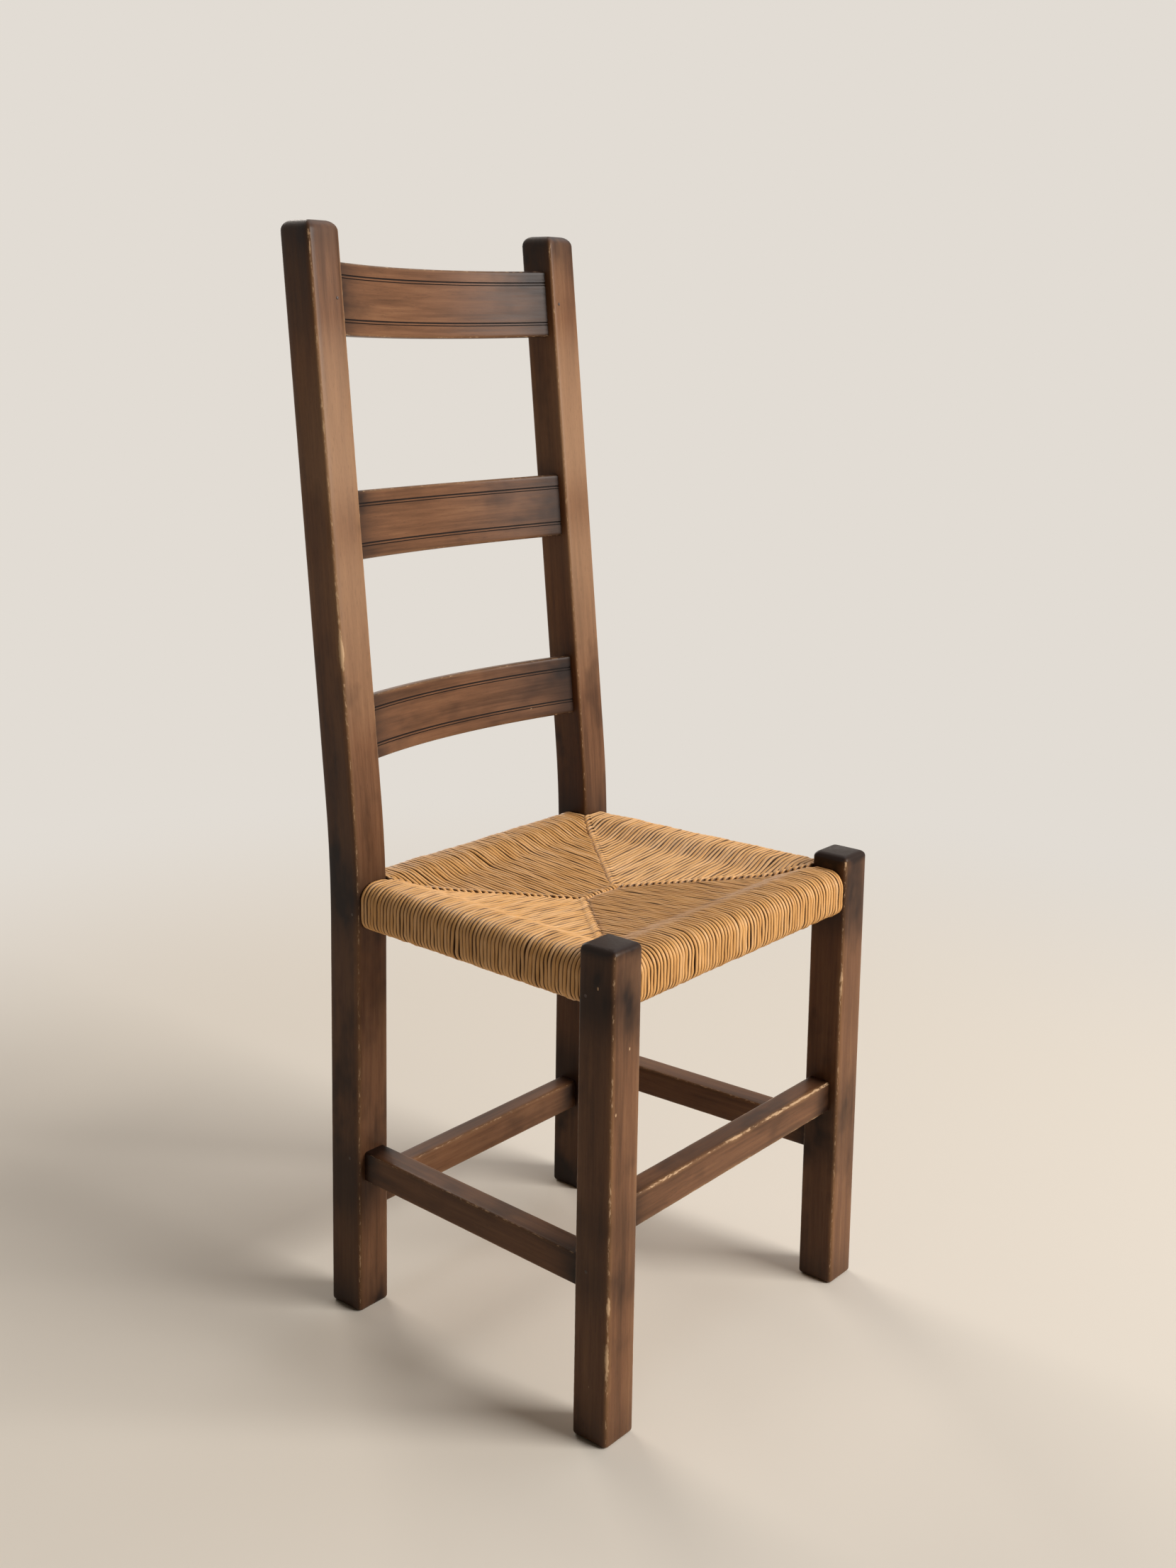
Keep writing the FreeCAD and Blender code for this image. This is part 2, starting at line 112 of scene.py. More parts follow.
class ChairSlats(bpy.types.PropertyGroup):
    thickness: length("Thickness", "Thickness of a slat", 12)
    top_height: length("Top slat", "Height along the posts", 71.5)
    middle_height: length("Middle slat", "Height along the posts", 68)
    bottom_height: length("Bottom slat", "Height along the posts", 64.5)
    bow: length("Bow", "Middle of a slat behind its ends", 26)
    edge_radius: length("Edge radius", "Rounding of the long edges", 2.5)
    tenon_side: length("Tenon side", "Tenon's broad faces inside the slat's", 2.5)
    groove_near: length("Outer groove", "Its middle from the long edge", 12.8)
    groove_far: length("Inner groove", "Its middle from the long edge", 15.6)
    upper_width: length("Upper groove width", "Bolder groove of each pair", 1.6)
    lower_width: length("Lower groove width", "Finer groove of each pair", 1)
    groove_depth: length("Groove depth", "Depth of each groove", 1)


class ChairStretchers(bpy.types.PropertyGroup):
    side_thickness: length("Side thickness", "Thickness of a side stretcher", 26)
    side_inset: length("Side inset", "Side stretcher inside the legs' outer faces", 7.3)
    edge_radius: length("Edge radius", "Rounding of the long edges", 2.5)
    tenon: length("Tenon length", "Length of each tenon inside a leg", 24)
    slat_tenon: length("Slat tenon length", "Length of each tenon inside a post", 22)
    shoulder: length("Shoulder", "Tenon's faces inside the bar's", 5)


class ChairRush(bpy.types.PropertyGroup):
    pitch: length("Strand pitch", "From strand to strand along a rail", 4.7)
    width: length("Strand width", "Width of a strand as it lies", 4.8)
    height: length("Strand height", "Thickness of a strand", 4.3)
    crown: length("Crown height", "Height of the seat over its rails", 451)
    underside: length("Underside height", "Height of the rush below the rails", 404)
    front_setback: length("Front setback", "Rush inside the legs' front faces", 1.5)
    setback: length("Setback", "Rush inside the outer faces elsewhere", 4)
    crown_width: length("Crown width", "Outer face to the crown's inner edge", 38)
    shoulder_width: length("Shoulder width", "Width of the slope inside the crown", 26)
    shoulder_drop: length("Shoulder drop", "Fall of the slope inside the crown", 10.5)
    ridge_drop: length("Ridge drop", "Fall from the crown to the ridge", 22)
    ridge_rise: length("Underside rise", "Rise of the underside to the ridge", 10)
    ridge: length("Ridge length", "Length of the ridge in the middle", 52)
    wave: length("Wave", "How far strands wander together", 0.7)


class ChairColours(bpy.types.PropertyGroup):
    # The dark stain also paints the shade on the sides and backs of the wooden pieces.
    dark_stain_and_shade: colour("Dark stain", "Stain in the joints and pores", "#21120a")
    stain_deep: colour("Deep stain", "Dark streaks along the grain", "#452c1a")
    stain_mid: colour("Stain", "Main colour of the wood", "#6c4931")
    stain_light: colour("Light stain", "Light streaks along the grain", "#866042")
    # This colour paints the upper posts lighter, as light falling on them.
    painted_light: colour("Faded stain", "Upper posts, faded and handled", "#a98769")
    rubbed: colour("Rubbed wood", "Thin stain beside the edges", "#94704c")
    bare: colour("Bare wood", "Bare wood along worn edges", "#c6a480")
    rush_pale: colour("Pale rush", "Palest strands", "#eec393")
    rush_gold: colour("Golden rush", "Main colour of the rush", "#d39d5d")
    rush_brown: colour("Brown rush", "Darkest strands", "#955f2a")
    rush_cleft: colour("Clefts", "Shade between the strands", "#3b210b")
    background: colour("Background", "Plain pale background as it shows", "#e2dcd4")
    floor: colour("Floor", "Plain pale matt floor", "#dfd7cb")


class ChairStage(bpy.types.PropertyGroup):
    key: power("Key light", "Power of the window light from the right", 420)
    ceiling: power("Ceiling light", "Power of the soft light from above", 22)
    back: power("Back light", "Power of the soft light from behind", 150)
    fill: bpy.props.FloatProperty(name="Sky", description="Strength of the light all round", default=0.06)


# Modelling helpers
def start_box(name, low, high):
    """Adds a cube at its size and place and opens it in edit mode."""
    bpy.ops.object.select_all(action="DESELECT")
    bpy.ops.mesh.primitive_cube_add(size=1.0, location=(low + high) / 2, scale=high - low)
    piece = bpy.context.object
    piece.name = name
    bpy.ops.object.transform_apply()
    bpy.ops.object.mode_set(mode="EDIT")
    return piece


def pick(kind, test):
    """Selects the vertices, edges or faces in edit mode that pass a test, and counts them."""
    bpy.ops.mesh.select_mode(type=kind)
    bpy.ops.mesh.select_all(action="DESELECT")
    mesh = bmesh.from_edit_mesh(bpy.context.object.data)
    parts = {"VERT": mesh.verts, "EDGE": mesh.edges, "FACE": mesh.faces}[kind]
    chosen = [part for part in parts if test(part)]
    for part in chosen:
        part.select_set(True)
    mesh.select_flush_mode()
    bmesh.update_edit_mesh(bpy.context.object.data)
    return len(chosen)


def edge_runs(edge, axis):
    """True if an edge runs along an axis, within the rake of the posts."""
    line = edge.verts[1].co - edge.verts[0].co
    return abs(line[axis]) > ALONG * line.length


def extrude(step):
    bpy.ops.mesh.extrude_region_move(TRANSFORM_OT_translate={"value": tuple(step)})


def divide_bar(axis, least, cuts):
    """Cuts a bar into rings and its flat faces into strips, for worn edges, and closes its mesh."""
    mesh = bmesh.from_edit_mesh(bpy.context.object.data)
    runs = sorted({round(edge.calc_length(), 4) for edge in mesh.edges if edge_runs(edge, axis)})
    for run in runs:
        rings = round(run / RING_SPACING) - 1
        if rings > 0:
            pick("EDGE", lambda edge: edge_runs(edge, axis) and abs(edge.calc_length() - run) < 0.2 * MM)
            bpy.ops.mesh.subdivide(number_cuts=rings)
    pick("EDGE", lambda edge: not edge_runs(edge, axis) and edge.calc_length() > least)
    bpy.ops.mesh.subdivide(number_cuts=cuts)
    close_edit()


def round_edges(axis, radius, least=0.0):
    """Rounds the edges that run along an axis and are longer than the least length."""
    pick("EDGE", lambda edge: edge_runs(edge, axis) and edge.calc_length() > least)
    bpy.ops.mesh.bevel(offset=radius, segments=EDGE_STEPS)


def close_edit():
    bpy.ops.mesh.select_all(action="SELECT")
    bpy.ops.mesh.remove_doubles(threshold=1e-6)
    bpy.ops.mesh.normals_make_consistent()
    bpy.ops.object.mode_set(mode="OBJECT")


def points_of(piece):
    places = np.empty(len(piece.data.vertices) * 3)
    piece.data.vertices.foreach_get("co", places)
    return places.reshape(-1, 3)


def write_attribute(piece, name, values):
    attribute = piece.data.attributes.new(name, "FLOAT_VECTOR", "POINT")
    attribute.data.foreach_set("vector", np.asarray(values, np.float32).ravel())


def bump(places, middle, spread):
    return np.exp(-(((places - middle) / spread) ** 2))


def mark_wood(piece, straight, low, high, radius, axis, number, stains, rubs=(), rub=0.0, painted_side_shade=0.0,
              depth=0.0):
    """Writes where each point lies in the plank, in millimetres, how stained and worn it is, and its painted
    shade.

    straight holds the points as if the piece weren't bent, low and high its box, and radius the
    rounding of its edges. stains are (place along the piece, spread, amount), less than nothing
    where the wood is painted lighter, as light falling on it, and rubs (point, spread, amount). rub is
    the wear all over, kept how much shade is painted on the sides and back, darker as if stained,
    and depth how far the most worn edges sink.
    """
    inside = np.minimum(straight - np.array(low), np.array(high) - straight)
    gaps = np.sort(np.maximum(inside, 0), axis=1) / MM
    from_edge = np.maximum(gaps[:, 0] + gaps[:, 1] - (2 - math.sqrt(2)) * radius / MM, 0)
    along = straight[:, axis] / MM
    # Painted shade: all but the front face is made darker, as if stained, for the shade on the sides and
    # back.
    stain = painted_side_shade * (1 - bump(straight[:, 1] / MM, low[1] / MM, 6))
    for place, spread, amount in stains:
        stain += amount * bump(along, place, spread)
    wear = np.full(len(along), rub)
    places = points_of(piece)
    for point, spread, amount in rubs:
        wear += amount * bump(np.linalg.norm(places - np.array(point), axis=1) / MM, 0, spread)
    shift = number * PLANK_STEP
    across = np.delete(straight, axis, axis=1) / MM + (shift, -shift)
    write_attribute(piece, "grain", np.column_stack([along + 3 * shift, across]))
    write_attribute(piece, "wear", np.column_stack([from_edge, stain, wear]))
    if depth:
        group = piece.vertex_groups.new(name="edges")
        weights = (0.1 + bump(from_edge, 0, EDGE_REACH)) * (0.15 + wear)
        for index, weight in enumerate(np.minimum(weights, 1.0)):
            group.add([index], weight, "REPLACE")
        texture = bpy.data.textures.new(piece.name + "_wear", "CLOUDS")
        texture.noise_scale = 0.011 + 0.0007 * number
        displace = piece.modifiers.new("worn", "DISPLACE")
        displace.texture = texture
        displace.vertex_group = group.name
        displace.strength = -depth
        displace.mid_level = 0.0
        apply_modifier(piece, displace)
        bpy.data.textures.remove(texture)


def select_only(*pieces):
    """Selects these pieces and nothing else, and makes the first one active."""
    bpy.ops.object.select_all(action="DESELECT")
    for piece in pieces:
        piece.select_set(True)
    bpy.context.view_layer.objects.active = pieces[0]


def apply_modifier(piece, modifier):
    select_only(piece)
    bpy.ops.object.modifier_apply(modifier=modifier.name)


def finish_piece(piece, material, node, angle=SMOOTH_ANGLE):
    """Shades a piece, gives it its material, hangs it from the root body and hides the part it stands in for.
    """
    select_only(piece)
    bpy.ops.object.shade_smooth_by_angle(angle=angle)
    piece.data.materials.append(material)
    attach(piece, "root")
    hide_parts(node)


# Materials
def add_node(tree, kind, inputs=(), stops=(), **settings):
    """Adds a node with its settings and colour stops, and sets or links its inputs.

    The inputs are in the node's own order, or in a dict by name or number. One that is a node
    stands for that node's first output.
    """
    node = tree.nodes.new("ShaderNode" + kind)
    for name, value in settings.items():
        setattr(node, name, value)
    for number, (position, tint) in enumerate(stops):
        elements = node.color_ramp.elements
        stop = elements[number] if number < 2 else elements.new(position)
        stop.position, stop.color = position, rgba(tint)
    for socket, value in inputs.items() if isinstance(inputs, dict) else enumerate(inputs):
        if isinstance(value, bpy.types.Node):
            value = value.outputs[0]
        if isinstance(value, bpy.types.NodeSocket):
            tree.links.new(value, node.inputs[socket])
        else:
            node.inputs[socket].default_value = value
    return node


def new_material(name):
    """A material with an empty node tree, and the function that adds a node to it."""
    material = bpy.data.materials.new(name)
    material.use_nodes = True
    material.node_tree.nodes.clear()
    return material, partial(add_node, material.node_tree)


def rgba(value):
    return (*value, 1.0)


def stained_walnut(name, colours, shade):
    """Beech planed, stained walnut and waxed: satin, streaked along the grain, rubbed pale at the edges."""
    material, add = new_material(name)
    grain = add("Attribute", attribute_name="grain").outputs["Vector"]
    marks = add("Attribute", attribute_name="wear").outputs["Vector"]
    from_edge, stain, rub = add("SeparateXYZ", (marks,)).outputs

    # Waves per millimetre along and across the grain. Vessels in the real wood are near 0.1 mm
    # across, and are drawn 0.8 mm so that they show. Nicks of a millimetre or so, a hand's width
    # apart, have gone through the stain.
    noises = {}
    for pattern, along, across, detail in (
            ("figure", 0.0035, 0.045, 3.0), ("streaks", 0.012, 0.3, 4.0), ("pores", 0.1, 1.25, 2.0),
            ("blotches", 0.011, 0.02, 3.0), ("worn", 0.03, 0.05, 3.0), ("ragged", 0.16, 0.6, 5.0),
            ("nicks", 0.012, 0.022, 0.0)):
        points = add("VectorMath", (grain, (along, across, across)), operation="MULTIPLY")
        kind = "TexVoronoi" if pattern == "nicks" else "TexNoise"
        noises[pattern] = add(kind, {"Vector": points, "Scale": 1.0, "Detail": detail, "Roughness": 0.6})
    levels = {}
    for effect, pattern, *span in (
            ("pores", "pores", 0.56, 0.72, 0.0, 0.25), ("blotches", "blotches", 0.46, 0.72, 0.0, 0.5),
            ("nicks", "nicks", 0.014, 0.024, 0.75, 0.0), ("gloss", "streaks", 0.3, 0.7, 0.34, 0.42),
            ("line", "worn", 0.36, 0.64, 0.2, 1.7), ("ragged", "ragged", 0.3, 0.7, -1.1, 0.2),
            ("band", "worn", 0.3, 0.7, 0.4, 4.0)):
        levels[effect] = add("MapRange", (noises[pattern], *span), interpolation_type="SMOOTHSTEP")

    # Worn edges: a thin broken line of bare wood, and a softer band rubbed thin beside it.
    line = add("Math", (rub, levels["line"], levels["ragged"]), operation="MULTIPLY_ADD")
    band = add("Math", (rub, levels["band"]), operation="MULTIPLY")
    for effect, width, soft, most in (("bare", line, 0.4, 0.8), ("rubbed", band, 2.4, 0.5)):
        inside = add("Math", (width, from_edge), operation="SUBTRACT")
        levels[effect] = add("MapRange", (inside, -soft, soft, 0.0, most), interpolation_type="SMOOTHSTEP")
    # The stain channel also holds the shade painted on the sides and backs.
    levels["stain"] = add("Math", (stain, levels["blotches"]), operation="ADD", use_clamp=True)
    # Below nothing, the stain channel paints the upper posts lighter, as light falling on them.
    levels["painted_light"] = add("Math", (stain, -1.0), operation="MULTIPLY", use_clamp=True)

    tone = add("Mix", {0: 0.38, 2: noises["figure"], 3: noises["streaks"]})
    # The shade argument moves the stops: the slats' copy of the stain is painted darker, as shade, and the
    # stretchers' copy is darker by a smaller step.
    base = add("ValToRGB", (tone,), [(0.27 + shade, colours.stain_deep), (0.7 + shade, colours.stain_light),
                                     (0.48 + shade, colours.stain_mid)])
    for effect, tint in (("painted_light", colours.painted_light), ("pores", colours.dark_stain_and_shade),
                         ("rubbed", colours.rubbed), ("stain", colours.dark_stain_and_shade),
                         ("bare", colours.bare), ("nicks", colours.bare)):
        base = add("Mix", {0: levels[effect], 6: base, 7: rgba(tint)}, data_type="RGBA").outputs[2]
    height = add("Mix", {0: 0.5, 2: noises["streaks"], 3: noises["pores"]})
    relief = add("Bump", {"Strength": 0.3, "Distance": 0.0002, "Height": height})
    shader = add("BsdfPrincipled", {"Base Color": base, "Roughness": levels["gloss"], "IOR": 1.5,
                                    "Specular IOR Level": 0.17, "Normal": relief})
    add("OutputMaterial", (shader,))
    return material


def gathered_stain(name, colours):
    """Stain and old wax gathered in the grooves: nearly black and dull."""
    material, add = new_material(name)
    place = add("TexCoord").outputs["Object"]
    # Specks a millimetre or two across.
    specks = add("TexNoise", {"Vector": place, "Scale": 600.0, "Detail": 2.0})
    base = add("Mix", {0: specks, 6: rgba(linear("#0a0503")), 7: rgba(colours.dark_stain_and_shade)},
               data_type="RGBA").outputs[2]
    shader = add("BsdfPrincipled", {"Base Color": base, "Roughness": 0.7, "Specular IOR Level": 0.2})
    add("OutputMaterial", (shader,))
    return material


def twisted_rush(name, colours, pale, brown):
    """Bulrush leaves twisted into a cord: dry and ribbed along, slightly glossy, with shade painted dark on
    the sides where cords touch.
    """
    material, add = new_material(name)
    marks = add("Attribute", attribute_name="strand").outputs["Vector"]
    chance, run = add("SeparateXYZ", (marks,)).outputs[:2]
    place = add("UVMap", uv_map="UVMap")
    share, around = add("SeparateXYZ", (place,)).outputs[:2]
    along = add("Math", (share, run), operation="MULTIPLY")
    # The leaves turn once round the cord in about 120 mm.
    turn = add("Math", (along, 1 / 120, around), operation="MULTIPLY_ADD")
    own = add("Math", (chance, 611.0), operation="MULTIPLY")

    noises = {}
    for pattern, across, scale, detail in (("fibres", turn, (0.04, 7.0, 1.0), 4.0),
                                           ("patches", own, (0.022, 1.0, 1.0), 3.0)):
        points = add("CombineXYZ", (along, across, own))
        points = add("VectorMath", (points, scale), operation="MULTIPLY")
        noises[pattern] = add("TexNoise", {"Vector": points, "Scale": 1.0, "Detail": detail,
                                           "Roughness": 0.6})
    waves = {}
    for line, position in (("side", around), ("leaf", turn)):
        waves[line] = add("Math", (position, 2 * math.pi), operation="MULTIPLY")
        for step in ("COSINE", "ABSOLUTE"):
            waves[line] = add("Math", (waves[line],), operation=step)
    levels = {}
    # The first level paints shade on each strand's sides, where it lies against its neighbours.
    for effect, *span in (("cleft", waves["side"], 0.55, 0.93, 0.0, 0.92),
                          ("leaf", waves["leaf"], 0.0, 0.16, 0.3, 0.0),
                          ("streak", noises["fibres"], 0.58, 0.78, 0.0, 0.4),
                          ("gloss", noises["fibres"], 0.3, 0.7, 0.36, 0.54)):
        levels[effect] = add("MapRange", span, interpolation_type="SMOOTHSTEP")

    tone = add("Mix", {0: 0.5, 2: noises["fibres"], 3: noises["patches"]})
    tone = add("Mix", {0: 0.1, 2: tone, 3: chance})
    base = add("ValToRGB", (tone,), [(brown, colours.rush_brown), (pale, colours.rush_pale),
                                     ((brown + pale) / 2, colours.rush_gold)])
    for effect, tint in (("streak", colours.rush_brown), ("leaf", colours.rush_brown),
                         ("cleft", colours.rush_cleft)):
        base = add("Mix", {0: levels[effect], 6: base, 7: rgba(tint)}, data_type="RGBA").outputs[2]
    height = add("Math", (noises["fibres"], levels["leaf"]), operation="SUBTRACT")
    relief = add("Bump", {"Strength": 0.7, "Distance": 0.0004, "Height": height})
    shader = add("BsdfPrincipled", {"Base Color": base, "Roughness": levels["gloss"], "IOR": 1.5,
                                    "Specular IOR Level": 0.28, "Normal": relief})
    add("OutputMaterial", (shader,))
    return material


def plain_grained(name, light, dark, scale, roughness):
    """Raw stuff with its fibres or grain along X and Y, quite matt; scale is in waves per metre."""
    material, add = new_material(name)
    place = add("TexCoord").outputs["Object"]
    points = add("VectorMath", (place, scale), operation="MULTIPLY")
    tone = add("TexNoise", {"Vector": points, "Scale": 1.0, "Detail": 5.0})
    base = add("ValToRGB", (tone,), [(0.35, linear(dark)), (0.65, linear(light))])
    relief = add("Bump", {"Strength": 0.5, "Distance": 0.0004, "Height": tone})
    shader = add("BsdfPrincipled", {"Base Color": base, "Roughness": roughness, "Normal": relief})
    add("OutputMaterial", (shader,))
    return material


# Posts and legs
def round_off_end(radius, size, centre, direction, rake=0.0):
    """Draws the top or the foot in as it goes on through a quarter circle."""
    before = 0.0
    for step in range(1, END_STEPS + 1):
        angle = step / END_STEPS * math.pi / 2
        inset = radius * (1 - math.cos(angle))
        climb = direction * radius * (math.sin(angle) - math.sin((step - 1) / END_STEPS * math.pi / 2))
        pick("FACE", lambda face: face.normal.z * direction > FACING
             and (face.calc_center_median().z - centre.z) * direction > -NEAR)
        extrude((0, climb * math.tan(rake), climb))
        centre = centre + Vector((0, climb * math.tan(rake), climb))
        shrink = [(side - 2 * inset) / (side - 2 * before) for side in size]
        bpy.ops.transform.resize(value=(*shrink, 1.0), center_override=centre)
        before = inset


# Stains are (height, spread, amount) and rubs (height in metres, spread, amount), in millimetres.
LEG_STAINS = [(466, 7, 0.7), (452, 26, 0.3), (410, 30, 0.55), (155, 26, 0.3), (207, 24, 0.3), (0, 34, 0.4)]
LEG_RUBS = {
    "right": [(0.095, 36, 0.7), (0.055, 10, 0.5), (0.13, 12, 0.7), (0.25, 90, 0.2), (0.463, 9, 1.2)],
    "left": [(0.33, 12, 0.9), (0.3, 80, 0.12), (0.463, 9, 0.9)],
}
# The stain below nothing round 830 mm paints the upper posts lighter, as light falling on them.
POST_STAINS = [(830, 210, -0.5), (1085, 34, 0.6), (1018, 40, 0.3), (798, 34, 0.3), (550, 60, 0.18),
               (440, 48, 0.6), (155, 28, 0.4), (116, 24, 0.3), (0, 34, 0.5), (90, 150, 0.12)]
# The long soft rubs round 0.85 m along the near edges are partly wear and partly a painted highlight on the
# rounded edge.
POST_RUBS_AND_HIGHLIGHT = {
    "right": [(0.85, 260, 0.2), (0.68, 13, 1.4), (1.085, 14, 0.3), (0.3, 90, 0.1)],
    "left": [(0.85, 200, 0.06), (1.085, 14, 0.3)],
}


def model_front_leg(side_name, number):
    sizes = bpy.context.scene.chair_posts
    low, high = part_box("front_leg_" + side_name)
    foot = Vector((low.x, low.y, low.z + sizes.foot_radius))
    top = Vector((high.x, high.y, high.z - sizes.leg_top_radius))
    piece = start_box("worn_leg_" + side_name, foot, top)
    round_edges(UPRIGHT, sizes.edge_radius)
    middle = (low + high) / 2
    section = (high.x - low.x, high.y - low.y)
    round_off_end(sizes.leg_top_radius, section, Vector((middle.x, middle.y, top.z)), 1)
    round_off_end(sizes.foot_radius, section, Vector((middle.x, middle.y, foot.z)), -1)
    divide_bar(UPRIGHT, 15 * MM, 6)
    rubs = [((low.x, low.y, z), spread, amount) for z, spread, amount in LEG_RUBS[side_name]]
    mark_wood(piece, points_of(piece), low, high, sizes.edge_radius, UPRIGHT, number, LEG_STAINS, rubs,
              rub=0.02, painted_side_shade=0.32, depth=0.7 * MM)
    return piece


def model_rear_post(side_name, number):
    sizes = bpy.context.scene.chair_posts
    low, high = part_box("rear_post_" + side_name)
    back = low.y + sizes.post_depth
    half_bend = sizes.bend_radius * math.tan(sizes.rake / 2)
    bend_start = sizes.bend_height - half_bend
    foot = Vector((low.x, low.y, low.z + sizes.foot_radius))
    piece = start_box("worn_post_" + side_name, foot, Vector((high.x, back, bend_start)))
    for step in range(1, BEND_STEPS + 1):
        ahead = [sizes.rake * part / BEND_STEPS for part in (step - 1, step)]
        sideways = sizes.bend_radius * (math.cos(ahead[0]) - math.cos(ahead[1]))
        upwards = sizes.bend_radius * (math.sin(ahead[1]) - math.sin(ahead[0]))
        pick("FACE", lambda face: face.normal.z > FACING
             and face.calc_center_median().z > bend_start - 0.1 * MM)
        extrude((0, sideways, upwards))
        bend_start += upwards
    top = high.z - sizes.post_top_radius
    climb = top - bend_start
    extrude((0, climb * math.tan(sizes.rake), climb))
    round_edges(UPRIGHT, sizes.edge_radius)
    shift = (top - sizes.bend_height) * math.tan(sizes.rake)
    centre = Vector(((low.x + high.x) / 2, low.y + sizes.post_depth / 2 + shift, top))
    section = (high.x - low.x, sizes.post_depth)
    round_off_end(sizes.post_top_radius, section, centre, 1, sizes.rake)
    round_off_end(sizes.foot_radius, section, Vector((centre.x, (low.y + back) / 2, foot.z)), -1)
    divide_bar(UPRIGHT, 13 * MM, 6)

    straight = points_of(piece)
    heights = straight[:, 2]
    angles = np.clip((heights - (sizes.bend_height - half_bend)) / sizes.bend_radius, 0, math.sin(sizes.rake))
    bent = sizes.bend_radius * (1 - np.sqrt(1 - angles ** 2))
    raked = (heights - sizes.bend_height) * math.tan(sizes.rake)
    straight[:, 1] -= np.where(heights > bend_start, raked, bent)
    rubs = [((low.x, low.y + max(0.0, z - sizes.bend_height) * math.tan(sizes.rake), z), spread, amount)
            for z, spread, amount in POST_RUBS_AND_HIGHLIGHT[side_name]]
    mark_wood(piece, straight, low, Vector((high.x, back, high.z)), sizes.edge_radius, UPRIGHT, number,
              POST_STAINS, rubs, rub=0.02, painted_side_shade=0.32, depth=0.6 * MM)
    return piece


class CHAIR_OT_posts(bpy.types.Operator):
    """Models the two raked rear posts and the two front legs with worn edges"""
    bl_idname = "chair.posts"
    bl_label = "Posts and legs"

    def execute(self, context):
        wood = stained_walnut("walnut_stained_posts", context.scene.chair_colours, 0.0)
        for number, side_name in enumerate(SIDES):
            post = model_rear_post(side_name, number)
            finish_piece(post, wood, "rear_post_" + side_name)
            leg = model_front_leg(side_name, number + 2)
            finish_piece(leg, wood, "front_leg_" + side_name)
        return {"FINISHED"}


# Stretchers
# A box that reaches this far past the ends of a bar, so that its hidden ends don't count as edges.
OPEN_END = 1.0
# Rubs along the upper front edge: (share of the length, spread in millimetres, amount).
STRETCHER_RUBS = {
    "front": [(0.2, 60, 0.4), (0.5, 60, 0.55), (0.8, 70, 0.65)],
    "rear": [(0.5, 90, 0.1)],
    "right": [(0.5, 100, 0.15)],
    "left": [(0.5, 100, 0.15)],
}


def add_tenons(ends, middle, section, shoulders, run):
    """Insets each end of a bar along X and draws a tenon out of it."""
    rim = min(shoulders)
    shrink = [(side - 2 * shoulder) / (side - 2 * rim) for side, shoulder in zip(section, shoulders)]
    for end, direction in zip(ends, (-1, 1)):
        pick("FACE", lambda face: abs(face.calc_center_median().x - end) < NEAR)
        bpy.ops.mesh.inset(thickness=rim)
        bpy.ops.transform.resize(value=(1.0, *shrink), center_override=(end, *middle))
        extrude((direction * run, 0, 0))


class CHAIR_OT_stretchers(bpy.types.Operator):
    """Models the four stretchers with their tenons and their rubbed upper edges"""
    bl_idname = "chair.stretchers"
    bl_label = "Stretchers"

    def execute(self, context):
        sizes = context.scene.chair_stretchers
        wood = stained_walnut("walnut_stained_stretchers", context.scene.chair_colours, 0.04)
        for number, name in enumerate(("front", "rear", "right", "left")):
            low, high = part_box("stretcher_" + name)
            height = high.z - low.z
            if name in SIDES:
                side = SIDES[name]
                leg_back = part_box("front_leg_" + name)[1].y
                post_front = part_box("rear_post_" + name)[0].y
                middle = sizes.side_inset + sizes.side_thickness / 2
                start = Vector((side * (abs(FRONT_CORNER.x) - middle), leg_back, low.z))
                end = Vector((side * (abs(REAR_CORNER.x) - middle), post_front, low.z))
                thickness = sizes.side_thickness
            else:
                start = Vector((low.x + sizes.tenon, (low.y + high.y) / 2, low.z))
                end = Vector((high.x - sizes.tenon, start.y, low.z))
                thickness = high.y - low.y
            line = end - start
            span = line.length
            piece = start_box("worn_stretcher_" + name, Vector((0, -thickness / 2, 0)),
                              Vector((span, thickness / 2, height)))
            add_tenons((0, span), (0, height / 2), (thickness, height), (sizes.shoulder, sizes.shoulder),
                       sizes.tenon)
            round_edges(LYING, sizes.edge_radius, span / 2)
            divide_bar(LYING, 12 * MM, 5)
            stains = [(0, 22, 0.75), (span / MM, 22, 0.75), (span / MM * 0.45, 60, 0.1)]
            rubs = [((span * place, -thickness / 2, height), spread, amount)
                    for place, spread, amount in STRETCHER_RUBS[name]]
            mark_wood(piece, points_of(piece), (-OPEN_END, -thickness / 2, 0),
                      (span + OPEN_END, thickness / 2, height), sizes.edge_radius, LYING, number + 5,
                      stains, rubs, painted_side_shade=0.15, depth=0.6 * MM)
            piece.rotation_euler = (0, 0, math.atan2(line.y, line.x))
            piece.location = start
            bpy.ops.object.transform_apply()
            finish_piece(piece, wood, "stretcher_" + name)
        return {"FINISHED"}


